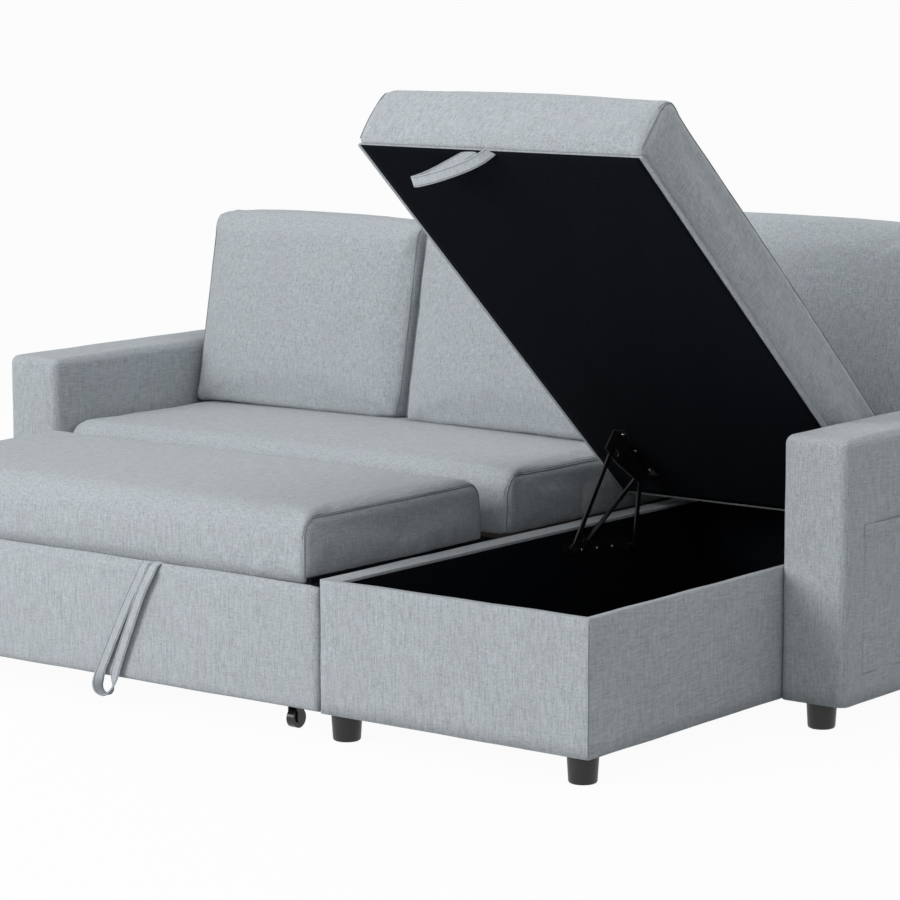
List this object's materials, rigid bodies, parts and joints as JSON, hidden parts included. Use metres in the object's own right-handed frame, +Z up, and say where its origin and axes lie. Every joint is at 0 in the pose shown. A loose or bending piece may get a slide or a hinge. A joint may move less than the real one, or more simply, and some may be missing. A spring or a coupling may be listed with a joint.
{
  "type": "chaise sofa bed",
  "caption": "Grey fabric sofa with a storage chaise under a lift-up lid and a pull-out bed whose deck rises on swing arms to seat height.",
  "frame": {"origin": "on the floor, at the middle of the sofa's width and depth as shown, with the bed pulled out and the lid open", "axes": "+X to the viewer's right across the width, +Y from the front to the back, +Z up"},
  "size_m": [2.3, 1.414, 1.2607],
  "materials": {
    "upholstery": "heathered linen-look weave",
    "cushion": "heathered linen-look weave over foam",
    "webbing": "folded and stitched linen-look strap",
    "black_lining": "matt non-woven lining",
    "timber": "bare softwood and plywood",
    "black_steel": "black powder coat",
    "black_plastic": "moulded, satin",
    "caster_tread": "moulded nylon"
  },
  "bodies": {
    "sofa": {"arm_pocket": "upholstery", "back_cover": "upholstery", "back_frame": "timber", "chaise_back_cushion": "cushion", "chaise_floor": "timber", "chaise_front_panel": "upholstery", "chaise_left_panel": "upholstery", "chaise_rear_panel": "upholstery", "chaise_right_panel": "upholstery", "feet": "black_plastic", "left_arm_cover": "upholstery", "left_arm_frame": "timber", "left_back_cushion": "cushion", "left_bed_guide": "black_steel", "left_lid_spring": "black_steel", "left_lower_plate": "black_steel", "middle_back_cushion": "cushion", "right_arm_cover": "upholstery", "right_arm_frame": "timber", "right_bed_guide": "black_steel", "right_lid_spring": "black_steel", "right_lower_plate": "black_steel", "seat_cushion": "cushion", "seat_front_rail": "timber", "seat_rear_rail": "timber", "seat_slats": "timber", "storage_liner": "black_lining"},
    "lid": {"lid_board": "timber", "lid_lining": "black_lining", "lid_cushion": "cushion", "lid_strap": "webbing", "left_upper_plate": "black_steel", "right_upper_plate": "black_steel"},
    "lid_rear_arms": {"left_rear_arm": "black_steel", "right_rear_arm": "black_steel"},
    "lid_front_arms": {"left_front_arm": "black_steel", "right_front_arm": "black_steel"},
    "bed": {"bed_front_panel": "upholstery", "bed_rear_rail": "black_steel", "bed_strap": "webbing", "left_bed_rail": "black_steel", "left_caster_block": "timber", "left_caster_plate": "black_plastic", "right_bed_rail": "black_steel", "right_caster_block": "timber", "right_caster_plate": "black_plastic"},
    "front_lift_arms": {"left_front_lift_arm": "black_steel", "right_front_lift_arm": "black_steel"},
    "rear_lift_arms": {"left_rear_lift_arm": "black_steel", "right_rear_lift_arm": "black_steel"},
    "deck": {"deck_side_tubes": "black_steel", "deck_cross_tubes": "black_steel", "deck_board": "timber", "bed_mattress": "cushion"},
    "left_fork": {"left_caster_fork": "black_plastic"},
    "right_fork": {"right_caster_fork": "black_plastic"},
    "left_wheel": {"left_caster_wheel": "caster_tread"},
    "right_wheel": {"right_caster_wheel": "caster_tread"}
  },
  "joints": [
    {"name": "lid_tilt", "type": "hinge", "parent": "lid_rear_arms", "child": "lid", "pos_m": [0.6425, 0.32163, 0.40616], "axis": [1, 0, 0], "range_deg": [0, 104]},
    {"name": "lid_lift", "type": "hinge", "parent": "sofa", "child": "lid_rear_arms", "pos_m": [0.6425, 0.30038, 0.26009], "axis": [1, 0, 0], "range_deg": [-62.78, 0], "deforming": ["left_lid_spring", "right_lid_spring"]},
    {"name": "lid_front_lift", "type": "hinge", "parent": "sofa", "child": "lid_front_arms", "pos_m": [0.6425, 0.07307, 0.28365], "axis": [1, 0, 0], "range_deg": [-52.99, 0]},
    {"name": "bed_slide", "type": "slide", "parent": "sofa", "child": "bed", "axis": [0, 1, 0], "range_m": [0, 0.06]},
    {"name": "deck_level", "type": "hinge", "parent": "front_lift_arms", "child": "deck", "pos_m": [-0.33, -0.47825, 0.2885], "axis": [1, 0, 0], "range_deg": [0, 90]},
    {"name": "deck_lift", "type": "hinge", "parent": "bed", "child": "front_lift_arms", "pos_m": [-0.33, -0.573, 0.19375], "axis": [1, 0, 0], "range_deg": [-90.01, 0]},
    {"name": "deck_rear_lift", "type": "hinge", "parent": "bed", "child": "rear_lift_arms", "pos_m": [-0.33, -0.263, 0.19375], "axis": [1, 0, 0], "range_deg": [-90.01, 0]},
    {"name": "left_caster_swivel", "type": "hinge", "parent": "bed", "child": "left_fork", "pos_m": [-0.891, -0.643, 0.052], "axis": [0, 0, 1], "continuous": true},
    {"name": "left_wheel_roll", "type": "hinge", "parent": "left_fork", "child": "left_wheel", "pos_m": [-0.891, -0.631, 0.02], "axis": [1, 0, 0], "continuous": true},
    {"name": "right_caster_swivel", "type": "hinge", "parent": "bed", "child": "right_fork", "pos_m": [0.231, -0.643, 0.052], "axis": [0, 0, 1], "continuous": true},
    {"name": "right_wheel_roll", "type": "hinge", "parent": "right_fork", "child": "right_wheel", "pos_m": [0.231, -0.631, 0.02], "axis": [1, 0, 0], "continuous": true}
  ],
  "couplings": [
    {"joint": "lid_tilt", "follows": "lid_lift", "ratio": -1.6562},
    {"joint": "lid_front_lift", "follows": "lid_lift", "ratio": 0.84384},
    {"joint": "deck_lift", "follows": "deck_level", "ratio": -1},
    {"joint": "deck_rear_lift", "follows": "deck_level", "ratio": -1}
  ]
}
